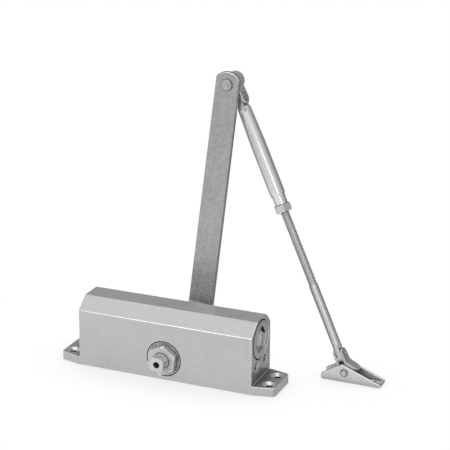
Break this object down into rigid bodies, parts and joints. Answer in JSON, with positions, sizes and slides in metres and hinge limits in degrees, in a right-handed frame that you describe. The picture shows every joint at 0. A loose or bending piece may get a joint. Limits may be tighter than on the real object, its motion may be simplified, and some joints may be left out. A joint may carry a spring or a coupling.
{
  "type": "door closer",
  "caption": "Surface-mounted hydraulic door closer: cast body with rack and pinion, scissor arm, adjustable forearm and fixing shoe.",
  "frame": {"origin": "centre of the four mounting screws, on the body's mounting face", "axes": "+X along the body towards the shoe, +Y along the pinion axis from the front face to the arm side, +Z away from the mounting face"},
  "size_m": [0.2702, 0.104, 0.2517],
  "materials": {
    "cast_body": "silver paint, semi-gloss",
    "plug_paint": "silver paint, semi-gloss",
    "cap_paint": "silver paint, semi-gloss",
    "arm_paint": "silver paint with fine metal flake",
    "tube_paint": "silver, smooth",
    "rod_steel": "zinc plated",
    "zinc_steel": "zinc plated",
    "bright_steel": "bright",
    "ball_steel": "polished",
    "spring_steel": "oiled",
    "piston_iron": "ground",
    "bronze": "satin",
    "rubber": "matt"
  },
  "bodies": {
    "housing": {"body_casting": "cast_body", "end_plug_right": "plug_paint", "end_plug_left": "plug_paint", "plug_seal_right": "rubber", "plug_seal_left": "rubber", "bearing_front": "bronze", "bearing_back": "bronze", "shaft_seal_front": "rubber", "shaft_seal_back": "rubber", "bearing_cap_front": "cap_paint", "bearing_cap_back": "cap_paint", "closing_spring": "spring_steel"},
    "piston_unit": {"piston": "piston_iron", "check_ball": "ball_steel", "check_retainer": "bronze"},
    "closing_valve": {"closing_speed_valve": "bright_steel"},
    "latching_valve": {"latching_speed_valve": "bright_steel"},
    "arm": {"pinion": "zinc_steel", "main_arm": "arm_paint", "arm_washer": "zinc_steel", "arm_screw": "zinc_steel", "elbow_pin": "zinc_steel"},
    "knuckle": {"elbow_knuckle": "arm_paint", "elbow_washer": "zinc_steel", "cross_pin": "zinc_steel"},
    "forearm": {"forearm_tube": "tube_paint", "lock_nut": "zinc_steel"},
    "rod": {"threaded_rod": "rod_steel"},
    "block": {"swivel_block": "arm_paint", "eye_pin": "zinc_steel"},
    "shoe": {"shoe_bracket": "arm_paint", "shoe_rivet": "zinc_steel"}
  },
  "joints": [
    {"name": "arm_swing", "type": "hinge", "parent": "housing", "child": "arm", "pos_m": [0, 0, 0.019], "axis": [0, 1, 0], "range_deg": [0, 140], "stiffness_Nm_per_rad": 4, "springref_deg": -68.75},
    {"name": "piston_slide", "type": "slide", "parent": "housing", "child": "piston_unit", "axis": [1, 0, 0], "range_m": [0, 0.0275], "deforming": ["closing_spring"]},
    {"name": "elbow", "type": "hinge", "parent": "arm", "child": "knuckle", "pos_m": [0.0267, 0.06135, 0.2409], "axis": [0, -1, 0], "range_deg": [-2, 140]},
    {"name": "forearm_tilt", "type": "hinge", "parent": "knuckle", "child": "forearm", "pos_m": [0.03329, 0.06135, 0.22743], "axis": [0.8982, 0, 0.4397], "range_deg": [-2, 15]},
    {"name": "rod_adjust", "type": "slide", "parent": "forearm", "child": "rod", "axis": [0.4381, -0.0841, -0.895], "range_m": [-0.025, 0.025]},
    {"name": "fork_pivot", "type": "hinge", "parent": "rod", "child": "block", "pos_m": [0.13406, 0.042, 0.02159], "axis": [0.8982, 0, 0.4397], "range_deg": [-20, 15]},
    {"name": "shoe_swivel", "type": "hinge", "parent": "block", "child": "shoe", "pos_m": [0.1403, 0.042, 0.00884], "axis": [0, 1, 0], "range_deg": [-35, 40]},
    {"name": "closing_valve_turn", "type": "hinge", "parent": "housing", "child": "closing_valve", "pos_m": [0.079, -0.01, 0.0213], "axis": [1, 0, 0], "range_deg": [-180, 180]},
    {"name": "latching_valve_turn", "type": "hinge", "parent": "housing", "child": "latching_valve", "pos_m": [0.079, 0.01, 0.0213], "axis": [1, 0, 0], "range_deg": [-180, 180]}
  ],
  "couplings": [
    {"joint": "piston_slide", "follows": "arm_swing", "m_per_rad": 0.0112}
  ]
}
